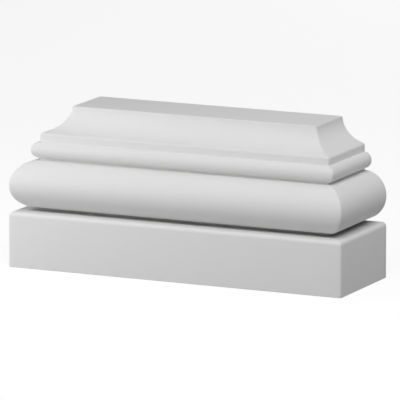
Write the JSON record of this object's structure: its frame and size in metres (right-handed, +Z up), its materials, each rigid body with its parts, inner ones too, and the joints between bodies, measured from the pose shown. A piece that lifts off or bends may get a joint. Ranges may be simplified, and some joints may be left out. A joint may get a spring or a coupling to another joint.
{
  "type": "pilaster base",
  "caption": "Rectangular moulded pilaster base with a plinth, a large torus, an astragal and a scotia round the front and sides, a flat back and a flat seat for the shaft on top.",
  "frame": {"origin": "on the underside, in the middle of the width and of the depth", "axes": "+X along the width, to the right as seen from the front; -Y to the front and +Y to the wall; +Z up"},
  "size_m": [0.35, 0.107, 0.1535],
  "materials": {
    "white_primer": "matt white primer"
  },
  "bodies": {
    "root": {"pilaster_base": "white_primer"}
  },
  "joints": []
}
